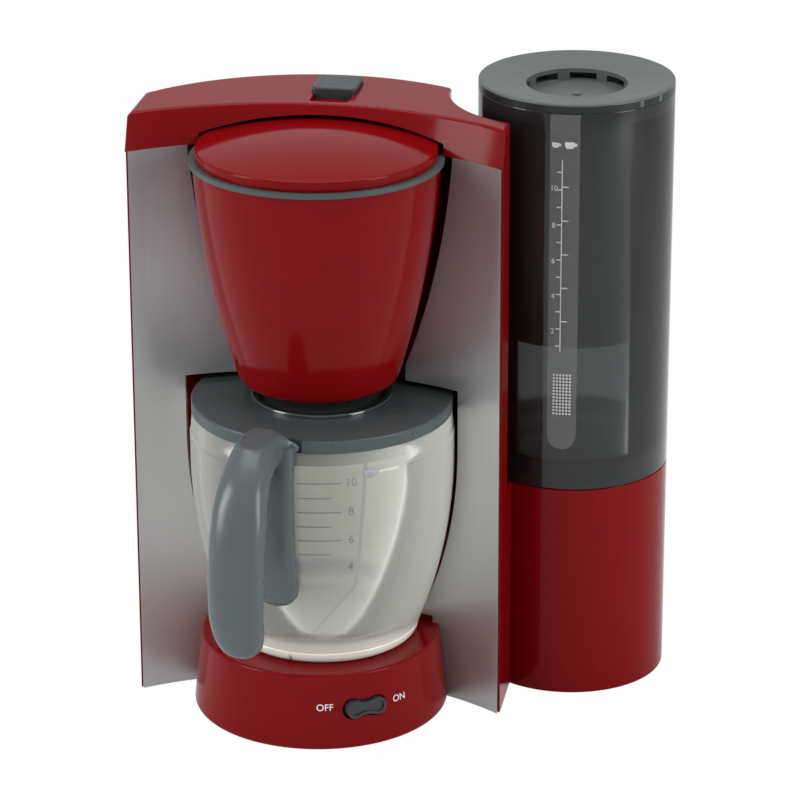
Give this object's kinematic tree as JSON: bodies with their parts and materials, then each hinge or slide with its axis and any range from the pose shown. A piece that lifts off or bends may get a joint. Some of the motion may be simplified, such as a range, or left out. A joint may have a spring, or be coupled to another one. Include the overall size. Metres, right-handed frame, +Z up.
{
  "type": "toy coffee maker",
  "caption": "Toy filter coffee maker: body with silver front panels, swing-out filter cup, clear jug on a warming plate, lift-off tank, push button and rocker switch.",
  "frame": {"origin": "on the floor under the jug's axis", "axes": "+Z up, +Y to the back, +X to the tank's side"},
  "size_m": [0.1705, 0.1574, 0.2061],
  "materials": {
    "red_plastic": "gloss",
    "silver_sheet": "satin",
    "plate_metal": "satin",
    "clear_jug": "frosted",
    "smoke_clear": "clear",
    "grey_plastic": "satin",
    "lid_plastic": "gloss",
    "gloss_black": "gloss",
    "black_plastic": "satin",
    "steel": "bright",
    "rubber": "matte"
  },
  "bodies": {
    "housing": {"housing_shell": "red_plastic", "front_panel_left": "silver_sheet", "front_panel_right": "silver_sheet", "base_foot": "red_plastic", "hot_plate": "plate_metal", "top_cap": "red_plastic", "hinge_pin": "steel", "switch_cradle": "black_plastic", "switch_pin": "steel", "tank_base": "red_plastic", "body_cover": "black_plastic", "foot_cover": "black_plastic", "tank_cover": "black_plastic", "cover_screws": "steel", "rubber_feet": "rubber", "button_spring": "steel"},
    "filter_holder": {"filter_cup": "red_plastic", "filter_rim_ring": "grey_plastic", "filter_basket": "black_plastic", "filter_lid": "lid_plastic", "drip_outlet": "black_plastic"},
    "jug": {"jug_body": "clear_jug", "jug_lid": "grey_plastic", "jug_lid_ring": "gloss_black", "jug_handle": "grey_plastic"},
    "tank": {"tank_cylinder": "smoke_clear", "tank_inner_vessel": "black_plastic"},
    "tank_lid": {"tank_lid": "grey_plastic"},
    "release_button": {"release_button": "grey_plastic"},
    "power_switch": {"switch_rocker": "grey_plastic"}
  },
  "joints": [
    {"name": "filter_swing", "type": "hinge", "parent": "housing", "child": "filter_holder", "pos_m": [-0.045, 0.008, 0.19], "axis": [0, 0, -1], "range_deg": [0, 22]},
    {"name": "jug_slide", "type": "slide", "parent": "housing", "child": "jug", "axis": [0, -1, 0], "range_m": [0, 0.12]},
    {"name": "tank_lift", "type": "slide", "parent": "housing", "child": "tank", "axis": [0, 0, 1], "range_m": [0, 0.06]},
    {"name": "tank_lid_lift", "type": "slide", "parent": "tank", "child": "tank_lid", "axis": [0, 0, 1], "range_m": [0, 0.03]},
    {"name": "button_press", "type": "slide", "parent": "housing", "child": "release_button", "axis": [0, 0, -1], "range_m": [0, 0.0013], "stiffness_N_per_m": 150, "springref_m": -0.0015, "deforming": ["button_spring"]},
    {"name": "switch_rock", "type": "hinge", "parent": "housing", "child": "power_switch", "pos_m": [0.01865, -0.03044, 0.0142], "axis": [0, 0, -1], "range_deg": [0, 7]}
  ]
}
